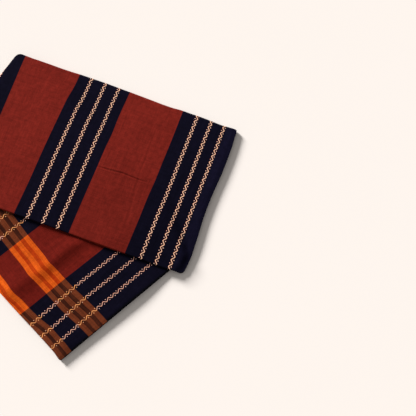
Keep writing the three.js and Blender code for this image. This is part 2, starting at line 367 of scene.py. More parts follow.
def outer_profile(t, h=0.0):
    """Across the outer ply: cloth coordinate t (0 to RUN on the flat) and
    height h off its face, to q and n.  It turns down round the eight-ply roll
    at the low edge and right round at the high edge."""
    t, h = np.broadcast_arrays(np.asarray(t, float), np.asarray(h, float))
    a = (ROLL - t) / ROLL
    b = (t - (RUN - NOSE)) / NOSE
    low, high = a > 0, b > 0
    q = np.where(low, ROLL - (ROLL + h) * np.sin(a), np.where(high, RUN - NOSE + (NOSE + h) * np.sin(b), t))
    n = np.where(low, 3 * ROLL + (ROLL + h) * np.cos(a), np.where(high, NOSE + (NOSE + h) * np.cos(b), STACK + h))
    return q, n


def outer_at(s, t, h=0.0):
    q, n = outer_profile(t, h)
    return strip(p_of(s, q), q, n)


# ---------------------------------------------------------------- the end piece's map
STRIPE_P = [2, 39, 66, 92, 122, 150, 160, 168, 176, 184, 192, 208, 232, 250, 300]
STRIPE_AT = {  # where the stripes' outer lines lie: q at each of STRIPE_P
    28.0: [28.5, 27.5, 27, 23.3, 21.6, 21.2, 20.0, 19.5, 20.0, 20.9, 21.5, 21.8, 22, 22, 21],
    70.0: [71, 67, 64, 62.5, 62.5, 61.9, 61.7, 61.0, 60.6, 60.9, 61.8, 62.4, 62.6, 62.9, 62.5],
    115.0: [117, 114.5, 112, 109, 107, 106.2, 105.8, 104.8, 105.0, 105.7, 106.0, 106.1, 105.9, 106.3, 108],
}
_stripes = {t: curve(list(zip(STRIPE_P, qs))) for t, qs in STRIPE_AT.items()}
DRIFT_Q = [0, 20, 50, 80, 110, 140, 170, 200, 230, 319]
DRIFT = {
    0.0: [0, 0, 0, 0, 0, 0, 0, 0, 0, 0],
    34.5: [-4.3, -3.8, -3.0, -1.5, -0.4, 0.0, -0.4, 0.2, 0.5, 0],
    65.5: [-4.0, -3.6, -3.1, -1.3, -0.1, -0.3, -0.7, -0.5, -0.3, 0],
    98.5: [-6.3, -4.7, -3.9, -2.1, -1.6, -1.4, -2.1, -1.4, -1.3, 0],
    124.5: [-0.2, -1.2, -1.2, -1.2, -1.1, -1.4, -1.5, -1.3, -1.2, 0],
    248.5: [-1.2, -1.2, -1.2, -1.2, -1.1, -1.0, -1.0, -0.8, -0.8, 0],
    280.0: [-2.0, -2.0, -2.0, -2.0, -1.9, -1.8, -1.8, -1.6, -1.6, 0],
    700.0: [0, 0, 0, 0, 0, 0, 0, 0, 0, 0],
}
_drift = [(s, curve(list(zip(DRIFT_Q, v)))) for s, v in DRIFT.items()]


def drift(s, q):
    s, q = np.broadcast_arrays(np.asarray(s, float), np.asarray(q, float))
    d = np.zeros(s.shape)
    for (a, fa), (b, fb) in zip(_drift[:-1], _drift[1:]):
        u = (s - a) / (b - a)
        d = np.where((s >= a) & (s <= b), lerp(fa(q), fb(q), np.clip(u, 0, 1)), d)
    return d


def pallu_cloth(p, q):
    """Cloth coordinates of a place on the flap: s from the selvedge, t across,
    so that the stripes are straight in t."""
    q28, q70, q115 = (_stripes[k](p) for k in (28.0, 70.0, 115.0))
    t = q - q28 + 28.0
    t = np.where(q > q28, 28 + 42 * (q - q28) / (q70 - q28), t)
    t = np.where(q > q70, 70 + 45 * (q - q70) / (q115 - q70), t)
    t = np.where(q > q115, 115 + q - q115, t)
    return p - drift(p, q), t


PALLU_ROLL = 0.55
PALLU_IN = 0.5


def pallu_profile(q, h=0.0):
    """Across the end piece, which turns down round a two-ply roll at q = 0."""
    edge = PALLU_IN + PALLU_ROLL
    a = np.clip((edge - q) / PALLU_ROLL, 0, np.pi)
    low = a > 0
    return (
        np.where(low, edge - (PALLU_ROLL + h) * np.sin(a), q),
        np.where(low, PALLU_ROLL - (PALLU_ROLL + h) * np.cos(a), -h),
    )


def pallu_at(s, q, h=0.0):
    qq, n = pallu_profile(q, h)
    return np.stack(lower_at(s + drift(s, q), qq, n), -1)


# ---------------------------------------------------------------- mesh making
def make_mesh(name, points, faces, uv, material, flat=False):
    """points (N, 3) in mm, faces as lists of equal length (M, k), uv (N, 2) in
    metres of cloth."""
    me = bpy.data.meshes.new(name)
    pts = (np.asarray(points, float) - ORIGIN) * 0.001
    faces = np.asarray(faces, np.int32)
    m, k = faces.shape
    me.vertices.add(len(pts))
    me.vertices.foreach_set("co", pts.astype(np.float32).ravel())
    me.loops.add(m * k)
    me.loops.foreach_set("vertex_index", faces.ravel())
    me.polygons.add(m)
    me.polygons.foreach_set("loop_start", np.arange(0, m * k, k, dtype=np.int32))
    me.update(calc_edges=True)
    layer = me.uv_layers.new(name="cloth")
    layer.data.foreach_set("uv", np.asarray(uv, np.float32)[faces.ravel()].ravel())
    me.polygons.foreach_set("use_smooth", np.full(m, not flat))
    me.materials.append(material)
    me.validate()
    ob = bpy.data.objects.new(name, me)
    bpy.context.scene.collection.objects.link(ob)
    return ob


def grid_faces(nu, nv, start=0, flip=False):
    i, j = np.meshgrid(np.arange(nu - 1), np.arange(nv - 1), indexing="ij")
    a = (i * nv + j).ravel() + start
    quads = np.stack([a, a + 1, a + nv + 1, a + nv], -1)
    return quads[:, ::-1] if flip else quads


def spaced(*pieces):
    """Joins (start, stop, step) runs into one rising list of places."""
    out = []
    for a, b, step in pieces:
        count = max(1, int(round(abs(b - a) / step)))
        out.extend(np.linspace(a, b, count + 1)[:-1])
    out.append(pieces[-1][1])
    return np.array(out)


def thicken(ob, ply, offset=-1.0):
    mod = ob.modifiers.new("ply", "SOLIDIFY")
    mod.thickness = ply * 0.001
    mod.offset = offset
    mod.use_even_offset = False
    mod.use_rim = True
    return mod


# ---------------------------------------------------------------- materials
def srgb(r, g, b):
    out = []
    for v in (r, g, b):
        c = v / 255
        out.append(c / 12.92 if c <= 0.04045 else ((c + 0.055) / 1.055) ** 2.4)
    return (*out, 1.0)


class Tree:
    """A few short hands for node trees."""

    def __init__(self, name):
        self.m = bpy.data.materials.new(name)
        self.m.use_nodes = True
        self.t = self.m.node_tree
        self.t.nodes.clear()
        self.out = self.t.nodes.new("ShaderNodeOutputMaterial")
        self.b = self.t.nodes.new("ShaderNodeBsdfPrincipled")
        self.link(self.b.outputs[0], self.out.inputs[0])

    def link(self, a, b):
        self.t.links.new(a, b)

    def node(self, kind, **values):
        n = self.t.nodes.new(kind)
        for k, v in values.items():
            setattr(n, k, v)
        return n

    def put(self, socket, value):
        if isinstance(value, bpy.types.NodeSocket):
            self.link(value, socket)
        else:
            socket.default_value = value

    def math(self, op, a, b=0.0, c=None, clamp=False):
        n = self.node("ShaderNodeMath", operation=op, use_clamp=clamp)
        self.put(n.inputs[0], a)
        self.put(n.inputs[1], b)
        if c is not None:
            self.put(n.inputs[2], c)
        return n.outputs[0]

    def cloth(self):
        uv = self.node("ShaderNodeUVMap", uv_map="cloth")
        sep = self.node("ShaderNodeSeparateXYZ")
        self.link(uv.outputs[0], sep.inputs[0])
        return uv.outputs[0], sep.outputs[0], sep.outputs[1]

    def noise(self, uv, scale, detail=2.0, rough=0.5, stretch=(1, 1, 1), shift=(0, 0, 0)):
        mp = self.node("ShaderNodeMapping")
        mp.inputs["Scale"].default_value = stretch
        mp.inputs["Location"].default_value = shift
        self.link(uv, mp.inputs[0])
        n = self.node("ShaderNodeTexNoise", noise_dimensions="3D")
        n.inputs["Scale"].default_value = scale
        n.inputs["Detail"].default_value = detail
        n.inputs["Roughness"].default_value = rough
        self.link(mp.outputs[0], n.inputs["Vector"])
        return n.outputs[0]

    def mix(self, factor, a, b, kind="MIX"):
        n = self.node("ShaderNodeMix", data_type="RGBA", blend_type=kind)
        self.put(n.inputs["Factor"], factor)
        self.put(n.inputs["A"], a)
        self.put(n.inputs["B"], b)
        return n.outputs["Result"]

    def step(self, value, edge, soft):
        """0 below the edge, 1 above it, with a soft change of 2 * soft."""
        n = self.node("ShaderNodeMapRange", clamp=True)
        self.link(value, n.inputs["Value"])
        for key, v in (("From Min", edge - soft), ("From Max", edge + soft), ("To Min", 0.0), ("To Max", 1.0)):
            n.inputs[key].default_value = v
        return n.outputs["Result"]

    def bands(self, value, edges, soft=0.0003):
        """1 from the first edge to the second, 0 to the third, and so on."""
        total = None
        for k, edge in enumerate(edges):
            st = self.step(value, edge * 0.001, soft)
            total = st if total is None else self.math("SUBTRACT" if k % 2 else "ADD", total, st)
        return total

    def remap(self, value, a, b, lo, hi):
        n = self.node("ShaderNodeMapRange", clamp=True)
        self.link(value, n.inputs["Value"])
        for key, v in (("From Min", a), ("From Max", b), ("To Min", lo), ("To Max", hi)):
            n.inputs[key].default_value = v
        return n.outputs["Result"]


RED = srgb(118, 33, 25)
NAVY = srgb(13, 11, 26)
# painted sheen: a lighter, bluer navy for light caught on the rounded edge by each selvedge
SHEEN_NAVY = srgb(18, 16, 35)
CREAM = srgb(254, 207, 171)

BANDS = [0, 127, 256, 377.5, 512, 637, 771.5, 893, 1022, 1149]  # navy, red, navy ...
LINES = [31.6, 61.3, 93.4, 281.9, 314.4, 348.2, 549, 576, 603, 802.5, 837, 869.5, 1054.7, 1086.5, 1118]


def weave(tr, uv, s, t, colour, streak=1.0, bump=1.0):
    """Thread streaks, slubs, mottling, the plain weave and a soft dry finish."""
    lengthwise = tr.noise(uv, 1.0, 3, 0.6, (1150, 9, 1))
    crosswise = tr.noise(uv, 1.0, 3, 0.6, (9, 900, 1), (3.1, 0, 0))
    slub_l = tr.noise(uv, 1.0, 2, 0.6, (300, 16, 1), (6.1, 1.4, 0))
    slub_c = tr.noise(uv, 1.0, 2, 0.6, (14, 260, 1), (2.9, 8.2, 0))
    broad = tr.noise(uv, 1.0, 2, 0.5, (22, 12, 1), (0, 5.2, 0))
    blotch = tr.noise(uv, 1.0, 3, 0.6, (105, 88, 1), (4.4, 0.9, 0))
    fine = tr.noise(uv, 1.0, 2, 0.6, (420, 420, 1), (1.7, 2.2, 0))

    def vary(shade, n, size):
        factor = tr.math("MULTIPLY_ADD", n, 2 * size, 1 - size)
        return factor if shade is None else tr.math("MULTIPLY", shade, factor)

    shade = vary(None, lengthwise, 0.32 * streak)
    shade = vary(shade, crosswise, 0.24 * streak)
    shade = vary(shade, slub_l, 0.20 * streak)
    shade = vary(shade, slub_c, 0.20 * streak)
    shade = vary(shade, broad, 0.20)
    shade = vary(shade, blotch, 0.42)
    shade = vary(shade, fine, 0.30)
    grey = tr.node("ShaderNodeCombineColor")
    for k in range(3):
        tr.link(shade, grey.inputs[k])
    colour = tr.mix(1.0, colour, grey.outputs[0], "MULTIPLY")
    tr.link(colour, tr.b.inputs["Base Color"])
    # plain weave, 0.42 mm a thread, the threads crowding and parting a little
    wide = tr.math("MULTIPLY_ADD", slub_l, 0.0016, s)
    high = tr.math("MULTIPLY_ADD", slub_c, 0.0016, t)
    a = tr.math("SINE", tr.math("MULTIPLY", wide, 2 * math.pi / 0.00084))
    b = tr.math("SINE", tr.math("MULTIPLY", high, 2 * math.pi / 0.00084))
    knots = tr.math("MULTIPLY", a, b)
    threads = tr.math("MULTIPLY_ADD", lengthwise, 0.9, tr.math("MULTIPLY", crosswise, 0.7))
    height = tr.math("MULTIPLY_ADD", knots, 0.35, threads)
    bp = tr.node("ShaderNodeBump")
    bp.inputs["Strength"].default_value = 0.30 * bump
    bp.inputs["Distance"].default_value = 0.00012
    tr.link(height, bp.inputs["Height"])
    # the cloth's own small puckers
    pucker = tr.node("ShaderNodeBump")
    pucker.inputs["Strength"].default_value = 0.5
    pucker.inputs["Distance"].default_value = 0.0011
    tr.link(tr.math("MULTIPLY_ADD", broad, 0.6, blotch), pucker.inputs["Height"])
    tr.link(bp.outputs[0], pucker.inputs["Normal"])
    tr.link(pucker.outputs[0], tr.b.inputs["Normal"])
    tr.link(tr.remap(fine, 0.3, 0.7, 0.78, 0.93), tr.b.inputs["Roughness"])
    tr.b.inputs["Specular IOR Level"].default_value = 0.02
    tr.b.inputs["Sheen Weight"].default_value = 0.012
    tr.b.inputs["Sheen Roughness"].default_value = 0.45
    return height


def ragged(tr, uv, value, amount, scale=(40, 900, 1)):
    """A band edge that wanders by a thread or two."""
    n = tr.noise(uv, 1.0, 2, 0.6, scale, (7.7, 0.4, 0))
    return tr.math("ADD", value, tr.math("MULTIPLY_ADD", n, amount, -amount / 2))


def body_material():
    tr = Tree("body_cotton")
    uv, s, t = tr.cloth()
    at = ragged(tr, uv, s, 0.0007)
    # painted sheen: the outer 26 mm by each selvedge takes the lighter, bluer navy
    dark = tr.mix(tr.bands(at, [26, WIDTH - 26]), SHEEN_NAVY, NAVY)
    colour = tr.mix(tr.bands(at, BANDS[1:-1]), dark, RED)
    # painted shade: the colour is a little darker towards the first selvedge, most at its low corner
    way = tr.math("MULTIPLY_ADD", t, 1.5, s)
    weave(tr, uv, s, t, tr.mix(tr.remap(way, 0.16, 0.62, 0.22, 0.0), colour, (0.0, 0.0, 0.0, 1.0)))
    return tr.m


ORANGE = srgb(212, 88, 22)
ORANGE_DARK = srgb(165, 48, 10)
OVER_NAVY = srgb(110, 52, 29)
OVER_NAVY_DARK = srgb(51, 22, 15)
END_RED = srgb(102, 25, 18)
END_NAVY = srgb(12, 10, 24)


def pallu_colour(tr, uv, s, t):
    """The end piece: the same lengthwise bands, crossed by two groups of
    stripes that run from selvedge to selvedge."""
    red = tr.bands(ragged(tr, uv, s, 0.0007), [124.5, 248.5, 371, 512, 637])
    at = ragged(tr, uv, t, 0.0006, (900, 40, 1))
    weft = tr.bands(at, [-14.0, 28.0, 70.0, 115.0], 0.0004)  # where a group lies
    waver = tr.math("MULTIPLY_ADD", tr.noise(uv, 1.0, 2, 0.5, (55, 30, 1), (5.1, 2.2, 0)), 0.0026, -0.0013)
    deep = tr.bands(tr.math("ADD", at, waver), [-20.0, 1.0, 11.0, 17.8, 79.8, 86.9, 96.9, 105.0], 0.0004)
    # the weft's colour changes a little from thread to thread and along each
    thread = tr.noise(uv, 1.0, 2, 0.6, (7, 420, 1), (9.3, 4.1, 0))
    deep = tr.math("MULTIPLY", deep, tr.remap(tr.noise(uv, 1.0, 2, 0.5, (16, 150, 1), (1.3, 6.1, 0)), 0.3, 0.6, 0.72, 1.0))
    on_red = tr.mix(tr.remap(thread, 0.34, 0.62, 0.0, 0.30), tr.mix(deep, ORANGE, ORANGE_DARK), ORANGE_DARK)
    on_navy = tr.mix(tr.remap(thread, 0.34, 0.62, 0.0, 0.26), tr.mix(deep, OVER_NAVY, OVER_NAVY_DARK), OVER_NAVY_DARK)
    # painted shade: the last 3.5 mm by the selvedge is near black, for the shaded edge
    dark = tr.mix(tr.step(s, 0.0035, 0.0015), srgb(6, 6, 9), END_NAVY)
    on_navy = tr.mix(tr.remap(s, 0.012, 0.055, 0.10, 0.0), on_navy, OVER_NAVY_DARK)
    plain = tr.mix(red, dark, END_RED)
    return tr.mix(weft, plain, tr.mix(red, on_navy, on_red))


def pallu_material():
    tr = Tree("pallu_cotton")
    uv, s, t = tr.cloth()
    weave(tr, uv, s, t, pallu_colour(tr, uv, s, t))
    return tr.m


def inner_material():
    """Ply edges and turned-in plies: the same bands, a little deeper."""
    tr = Tree("inner_cotton")
    uv, s, t = tr.cloth()
    at = ragged(tr, uv, s, 0.0012)
    colour = tr.mix(tr.bands(at, BANDS[1:-1]), srgb(13, 10, 21), srgb(102, 30, 22))
    weave(tr, uv, s, t, colour, 1.2)
    return tr.m


def motif_material(name, colour, striped=None):
    """Floats of thick undyed cotton: threads run along the line's length.  On
    the end piece the orange weft shows through them where it crosses."""
    tr = Tree(name)
    uv, u, v = tr.cloth()
    if striped is not None:
        weft = tr.bands(v, [-14.0, 28.0, 70.0, 115.0], 0.0004)
        deep = tr.bands(v, [-20.0, 1.0, 11.0, 17.8, 79.8, 86.9, 96.9, 105.0], 0.0004)
        colour = tr.mix(weft, colour, tr.mix(deep, *striped))
    thread = tr.math("SINE", tr.math("MULTIPLY", v, 2 * math.pi / 0.0007))
    fuzz = tr.noise(uv, 1.0, 3, 0.6, (900, 900, 1))
    slow = tr.noise(uv, 1.0, 2, 0.5, (60, 60, 1), (2, 2, 0))
    shade = tr.math("MULTIPLY_ADD", fuzz, 0.36, 0.84)
    shade = tr.math("MULTIPLY", shade, tr.math("MULTIPLY_ADD", thread, 0.07, 0.95))
    shade = tr.math("MULTIPLY", shade, tr.math("MULTIPLY_ADD", slow, 0.2, 0.9))
    grey = tr.node("ShaderNodeCombineColor")
    for k in range(3):
        tr.link(shade, grey.inputs[k])
    tr.link(tr.mix(1.0, colour, grey.outputs[0], "MULTIPLY"), tr.b.inputs["Base Color"])
    bp = tr.node("ShaderNodeBump")
    bp.inputs["Strength"].default_value = 0.5
    bp.inputs["Distance"].default_value = 0.00012
    tr.link(tr.math("MULTIPLY_ADD", thread, 0.5, fuzz), bp.inputs["Height"])
    tr.link(bp.outputs[0], tr.b.inputs["Normal"])
    tr.link(tr.remap(fuzz, 0.3, 0.7, 0.7, 0.88), tr.b.inputs["Roughness"])
    tr.b.inputs["Specular IOR Level"].default_value = 0.2
    tr.b.inputs["Sheen Weight"].default_value = 0.1
    return tr.m


# ---------------------------------------------------------------- the outer ply
M_BODY, M_PALLU, M_INNER = body_material(), pallu_material(), inner_material()
M_CREAM = motif_material("motif_cotton", CREAM)
M_DOT = motif_material("dot_cotton", srgb(255, 228, 206))
# the rim materials paint shade: a brown edge on the sloping sides of each float and dot
M_RIM_SHADE = motif_material("painted_rim_shade", srgb(162, 58, 24))
M_END = motif_material("end_motif_cotton", srgb(236, 181, 154), (srgb(246, 168, 100), srgb(214, 138, 84)))
M_END_DOT = motif_material("end_dot_cotton", srgb(255, 222, 204), (srgb(250, 190, 130), srgb(236, 190, 150)))
M_END_RIM_SHADE = motif_material("end_painted_rim_shade", srgb(132, 34, 12), (srgb(176, 90, 36), srgb(126, 60, 30)))


def profile_rows():
    """(t of the cloth, q, n) across the outer ply, turned-in parts included."""
    t = spaced(
        (ROLL - math.pi * ROLL, ROLL, 0.62),
        (ROLL, 10, 2.0),
        (10, 148, 4.0),
        (148, 170, 1.1),
        (170, RUN - 16, 4.0),
        (RUN - 16, RUN - NOSE, 2.2),
        (RUN - NOSE, RUN - NOSE + math.pi * NOSE, 0.9),
    )
    q, n = outer_profile(t)
    low_q, low_n = [10.0, 6.0, 3.6], [4.75, 4.5, 4.38]
    high_q, high_n = [RUN - 6.5, RUN - 9.5, RUN - 14.0], [0.12, 0.4, 0.75]
    t_all = np.concatenate([t[0] - (np.array(low_q) - ROLL), t, t[-1] + (RUN - NOSE - np.array(high_q))])
    return t_all, np.concatenate([low_q, q, high_q]), np.concatenate([low_n, n, high_n])


def build_outer():
    t, q, n = profile_rows()
    upper_share = spaced((0, 4, 0.8), (4, 12, 2.0), (12, 132, 4.0), (132, 184, 1.9), (184, 520, 4.0)) / 520
    fold_share = np.linspace(0, 1, 17)
    under_share = spaced((0, 500, 8.0), (500, 508, 2.0)) / 508
    q2, n2 = q[None, :], n[None, :]
    first = upper_length(q2)
    whole = whole_length(q2)
    u = upper_share[:-1, None] * first
    f = first + fold_share[:-1, None] * math.pi * FOLD_R
    w = lerp(first + math.pi * FOLD_R, whole, under_share[:, None])
    p = np.concatenate([u, f, w], 0)
    q3, n3 = np.broadcast_to(q2, p.shape), np.broadcast_to(n2, p.shape)
    pts = strip(p, q3, n3)
    s = s_of(p, q3)
    uv = np.stack([s, np.broadcast_to(t[None, :], p.shape)], -1) * 0.001
    nu, nv = p.shape
    ob = make_mesh("outer_ply", pts.reshape(-1, 3), grid_faces(nu, nv, flip=False), uv.reshape(-1, 2), M_BODY)
    return ob, pts


def face_up(ob, direction=(0, 0, 1), at=None):
    """Turns the faces of a sheet so that the one near at looks along direction."""
    me = ob.data
    d = Vector(direction)
    best = min(me.polygons, key=lambda f: (f.center - Vector(at)).length) if at is not None else me.polygons[0]
    if best.normal.dot(d) < 0:
        me.flip_normals()


outer, outer_pts = build_outer()
face_up(outer, at=((-200 - ORIGIN[0]) * 0.001, (40 - ORIGIN[1]) * 0.001, 0.018))
thicken(outer, PLY)

# ---------------------------------------------------------------- the end piece


def build_pallu():
    q = np.concatenate([
        [-6.5, -4.0, -2.2],
        spaced((-0.68, PALLU_ROLL + PALLU_IN, 0.2), (PALLU_ROLL + PALLU_IN, 9, 1.6), (9, 250, 2.6), (250, LOWER_RUN - 7, 6.0)),
    ])[None, :]
    near = spaced((0, 4, 0.8), (4, 12, 2.0), (12, 140, 3.6), (140, 200, 1.8), (200, 400, 3.8))
    far = np.linspace(0, 1, 26)[1:]
    length = leaving(np.clip(q, 0, LOWER_RUN) / LOWER_RUN)[2]
    p = np.concatenate([near[:, None] + 0 * q, lerp(400.0, length + 1.0, far[:, None])])
    q = np.broadcast_to(q, p.shape)
    qq, n = pallu_profile(q)
    under = q < -1.5  # the turned-in part
    qq = np.where(under, -q, qq)
    n = np.where(under, 1.1 + 0.03 * (-q - 1.5), n)
    pts = np.stack(lower_at(p, qq, n), -1)
    s, t = pallu_cloth(p, q)
    uv = np.stack([s, t], -1) * 0.001
    nu, nv = p.shape
    return make_mesh("pallu_sheet", pts.reshape(-1, 3), grid_faces(nu, nv), uv.reshape(-1, 2), M_PALLU)


pallu = build_pallu()
face_up(pallu, at=((-200 - ORIGIN[0]) * 0.001, (-250 - ORIGIN[1]) * 0.001, 0.009))
thicken(pallu, PLY)

# ---------------------------------------------------------------- turned plies of the low edge


def wander(s, seed, size):
    """A slow unevenness along an edge, 0 to size."""
    v = 0.5 + 0.27 * np.sin(s / 37.0 + seed * 1.7) + 0.16 * np.sin(s / 14.3 + seed * 2.9) + 0.07 * np.sin(s / 5.1 + seed)
    return size * np.clip(v, 0, 1)


def build_edges():
    """The four-ply roll, two raw ends and, under the upper strip, the two-ply
    roll, all of them following the strip round the slanting fold."""
    pts, faces, uvs, mats = [], [], [], []
    start = 0
    share = np.concatenate([
        spaced((0, 8, 2.0), (8, 600, 6.0))[:-1] / 600,
    ])
    fold_share = np.linspace(0, 1, 13)[:-1]
    under = np.linspace(0, 1, 86)

    def sweep(rows, seed, size, only_upper=False, material=0):
        nonlocal start
        q = np.array([r[0] for r in rows], float)[None, :]
        n = np.array([r[1] for r in rows], float)[None, :]
        first = upper_length(np.zeros((1, 1)))
        whole = whole_length(np.zeros((1, 1)))
        base = np.concatenate([
            share[:, None] * first,
            first + fold_share[:, None] * math.pi * FOLD_R,
            lerp(first + math.pi * FOLD_R, whole, under[:, None]),
        ])
        if only_upper:
            base = base[: len(share) + 8]
        inset = wander(base, seed, size)
        qq = q + inset
        # keep each row on its own share of the strip as the strip's length changes with q
        f_q, w_q = upper_length(qq), whole_length(qq)
        u = base / first
        mid = np.pi * FOLD_R
        p = np.where(
            base <= first,
            u * f_q,
            np.where(base < first + mid, f_q + (base - first), lerp(f_q + mid, w_q, (base - first - mid) / (whole - first - mid))),
        )
        end_in = wander(np.array([[0.0]]) + n * 40, seed + 3, 0.5)
        p = np.clip(p, end_in, None)
        nn = np.broadcast_to(n, p.shape)
        place = strip(p, qq, nn)
        s = s_of(p, qq)
        t = np.broadcast_to(-np.cumsum(np.concatenate([[0], np.hypot(np.diff(q[0]), np.diff(n[0]))]))[None, :], p.shape)
        pts.append(place.reshape(-1, 3))
        uvs.append((np.stack([s, t], -1) * 0.001).reshape(-1, 2))
        nu, nv = p.shape
        faces.append(grid_faces(nu, nv, start))
        start += nu * nv

    def roll(centre, radius, lead, tail):
        out = [(tail, centre + radius + 0.02), (lead + radius + 1.2, centre + radius)]
        for a in np.linspace(0, math.pi, 9):
            out.append((lead + radius - radius * math.sin(a), centre + radius * math.cos(a)))
        out += [(lead + radius + 1.2, centre - radius), (tail, centre - radius - 0.02)]
        return out

    sweep(roll(3.2, 1.02, 0.25, 7.0), 1, 0.7)
    sweep([(6.0, 1.9), (3.0, 1.88), (0.9, 1.84), (0.45, 1.8)], 5, 1.3)
    sweep([(6.0, 1.38), (3.0, 1.36), (0.8, 1.34), (0.3, 1.32)], 8, 1.5)
    count = len(pts)
    obj_inner = make_mesh("turned_plies", np.concatenate(pts), np.concatenate(faces), np.concatenate(uvs), M_INNER)
    pts.clear(), faces.clear(), uvs.clear()
    start = 0
    sweep(roll(0.55, 0.5, 0.3, 12.0), 11, 0.6, only_upper=True)
    obj_pallu = make_mesh("pallu_turn", np.concatenate(pts), np.concatenate(faces), np.concatenate(uvs), M_PALLU)
    return obj_inner, obj_pallu


turned, pallu_turn = build_edges()
thicken(turned, 0.38, 0.0)
thicken(pallu_turn, 0.38, 0.0)

# ---------------------------------------------------------------- the plies between
PLIES = 14


def ply_rows(is_upper):
    """Rows of the stack's rim from top to bottom: (n, inset at the selvedge,
    inset at the low edge, inset at the high edge, ply number)."""
    rows = []
    top, bottom = (8.12, 0.06) if is_upper else (8.12, 0.62)

    def low(n):
        if n > 2 * ROLL:
            d = np.clip((n - 3 * ROLL) / ROLL, -0.98, 0.98)
            return ROLL - ROLL * math.sqrt(1 - d * d) + 0.75
        if 2.2 < n < 4.25:
            d = np.clip((n - 3.2) / 1.02, -0.98, 0.98)
            return 1.02 - 1.02 * math.sqrt(1 - d * d) + 1.6
        return 3.2

    def high(n):
        d = np.clip((n - NOSE) / NOSE, -0.985, 0.985)
        return NOSE - NOSE * math.sqrt(1 - d * d) + 0.85

    pitch = (top - bottom - 0.1) / PLIES
    rows.append((top, 1.4, low(top) + 0.8, high(top) + 0.6, -1))
    for k in range(PLIES):
        c = top - 0.05 - (k + 0.5) * pitch
        for dn, tuck in ((0.40, 0.75), (0.30, 0.18), (0.10, 0.0), (-0.10, 0.0), (-0.30, 0.18), (-0.40, 0.75)):
            n = c + dn * pitch
            rows.append((n, tuck, low(n) + 0.4 * (tuck > 0.5), high(n) + 0.3 * (tuck > 0.5), k))
    rows.append((bottom, 1.4, 3.4, high(bottom) + 0.6, -1))
    return rows


def lines_of(count, edge, run):
    near = [e / run for e in edge]
    middle = list(np.linspace(near[-1], 1 - near[-1], count + 1)[1:-1])
    return np.array([0.0] + near + middle + [1 - e for e in near[::-1]] + [1.0])


def build_stack(name, is_upper, seed):
    us = lines_of(84 if is_upper else 64, [2, 5, 10, 18], 560)
    vs = lines_of(52 if is_upper else 44, [2, 5, 10, 18], RUN)
    nu, nv = len(us) - 1, len(vs) - 1
    rows = ply_rows(is_upper)
    run = RUN if is_upper else LOWER_RUN

    def at(i, j, row, sunk=0.0):
        n, selv, low, high, ply = row
        inner = (i > 0) & (i < nu) & (j > 0) & (j < nv)
        n = n + sunk * inner  # a broad face lies clear of the ply that covers it
        q = lerp(low, run - high, vs[j])
        uneven = 0.32 + (wander(q + 31 * ply, seed + 1.3 * ply, 0.75) if ply >= 0 else 0.2)
        length = upper_length(q) - 1.5 if is_upper else leaving(q / LOWER_RUN)[2] - 1.5
        inset = selv + uneven
        p = lerp(inset, length, us[i])
        if is_upper:
            xyz = strip(p, q, n * np.ones(np.shape(p)))
            s = s_of(p, q)
        else:
            xyz = np.stack(lower_at(p, q, n * np.ones(np.shape(p))), -1)
            s = p + 0.0
        return xyz, np.stack([s, q + n], -1) * 0.001

    I, J = np.meshgrid(np.arange(nu + 1), np.arange(nv + 1), indexing="ij")
    top, top_uv = at(I.ravel(), J.ravel(), rows[0], -0.6)
    bottom, bottom_uv = at(I.ravel(), J.ravel(), rows[-1], 0.6)
    loop = (
        [(i, 0) for i in range(nu, 0, -1)]
        + [(0, j) for j in range(nv)]
        + [(i, nv) for i in range(nu)]
        + [(nu, j) for j in range(nv, 0, -1)]
    )
    li, lj = np.array(loop).T
    size = len(loop)
    top_ids = li * (nv + 1) + lj
    count = (nu + 1) * (nv + 1)
    pts, uvs = [top, bottom], [top_uv, bottom_uv]
    rings = [top_ids]
    start = 2 * count
    for row in rows[1:-1]:
        xyz, uv = at(li, lj, row)
        pts.append(xyz)
        uvs.append(uv)
        rings.append(np.arange(size) + start)
        start += size
    rings.append(top_ids + count)
    faces = [grid_faces(nu + 1, nv + 1, 0), grid_faces(nu + 1, nv + 1, count, flip=True)]
    for a, b in zip(rings[:-1], rings[1:]):
        faces.append(np.stack([a, b, np.roll(b, -1), np.roll(a, -1)], -1))
    ob = make_mesh(name, np.concatenate(pts), np.concatenate(faces), np.concatenate(uvs), M_INNER)
    return ob


upper_plies = build_stack("upper_plies", True, 2.0)
lower_plies = build_stack("lower_plies", False, 6.0)
lower_plies.data.flip_normals()  # the lower strip's map is mirrored, so its faces wind the other way

# ---------------------------------------------------------------- the woven zigzags
BODY_MOTIF = {"period": 14.45, "swing": 2.75, "half": 1.1, "dot": 1.3, "dot_at": 3.0, "lift": 0.27}
END_MOTIF = {"period": 13.5, "swing": 2.55, "half": 0.86, "dot": 1.1, "dot_at": 3.0, "lift": 0.22}


def zigzag(phase):
    return np.arcsin(0.955 * np.sin(phase)) / math.asin(0.955)


